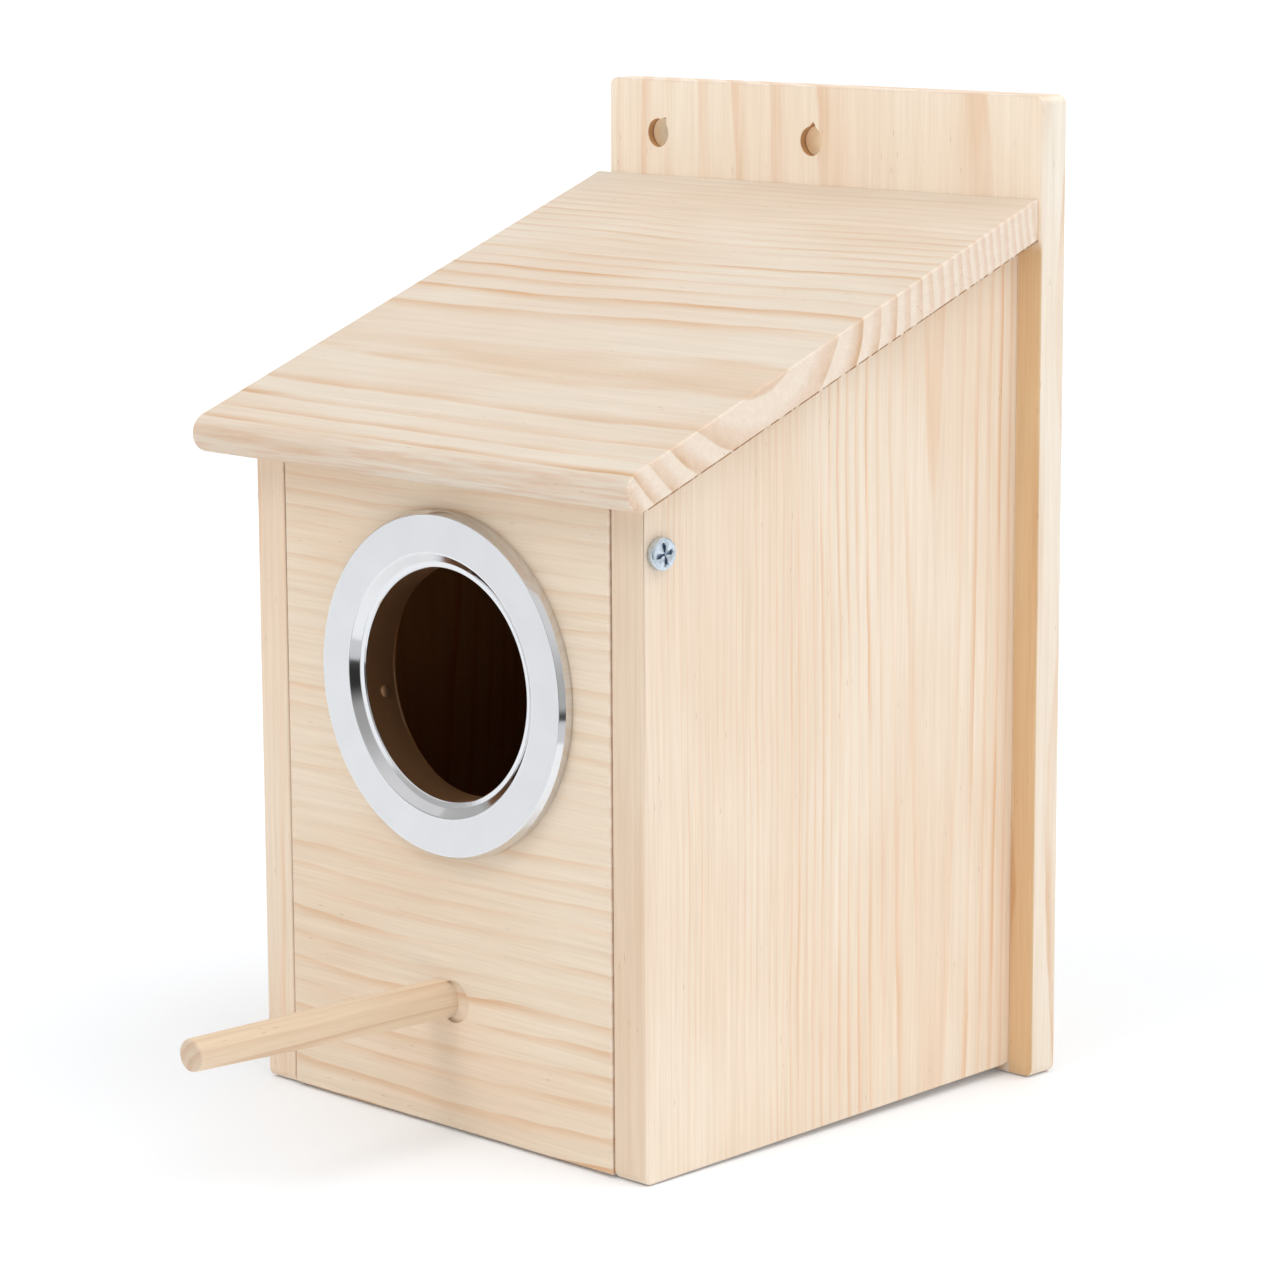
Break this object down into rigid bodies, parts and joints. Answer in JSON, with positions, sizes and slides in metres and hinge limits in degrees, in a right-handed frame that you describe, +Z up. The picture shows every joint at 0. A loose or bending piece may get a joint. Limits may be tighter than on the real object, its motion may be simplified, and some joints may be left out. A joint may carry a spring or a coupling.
{
  "type": "birdhouse",
  "caption": "Wall-hung wooden nest box with a sloping roof, a hinged front door, a metal-rimmed round entrance and a dowel perch.",
  "frame": {"origin": "on the surface it stands on, under the middle of the whole object's box, perch included", "axes": "+Z up, -Y towards the front door and perch, +X to the right seen from the front"},
  "size_m": [0.1734, 0.249, 0.28],
  "materials": {
    "pine": "planed, unfinished",
    "perch_wood": "sanded, unfinished",
    "ring_metal": "satin face, polished chamfers",
    "zinc_steel": "bright zinc plate"
  },
  "bodies": {
    "house": {"back_board": "pine", "left_side": "pine", "right_side": "pine", "floor_panel": "pine", "roof": "pine", "side_brads": "zinc_steel", "roof_brads": "zinc_steel", "floor_brads": "zinc_steel"},
    "door": {"front_door": "pine", "entrance_ring": "ring_metal", "ring_pins": "zinc_steel", "perch": "perch_wood", "pivot_screws": "zinc_steel"}
  },
  "joints": [
    {"name": "door_swing", "type": "hinge", "parent": "house", "child": "door", "pos_m": [0.0024, -0.02926, 0.1686], "axis": [-1, 0, 0], "range_deg": [0, 90]}
  ]
}
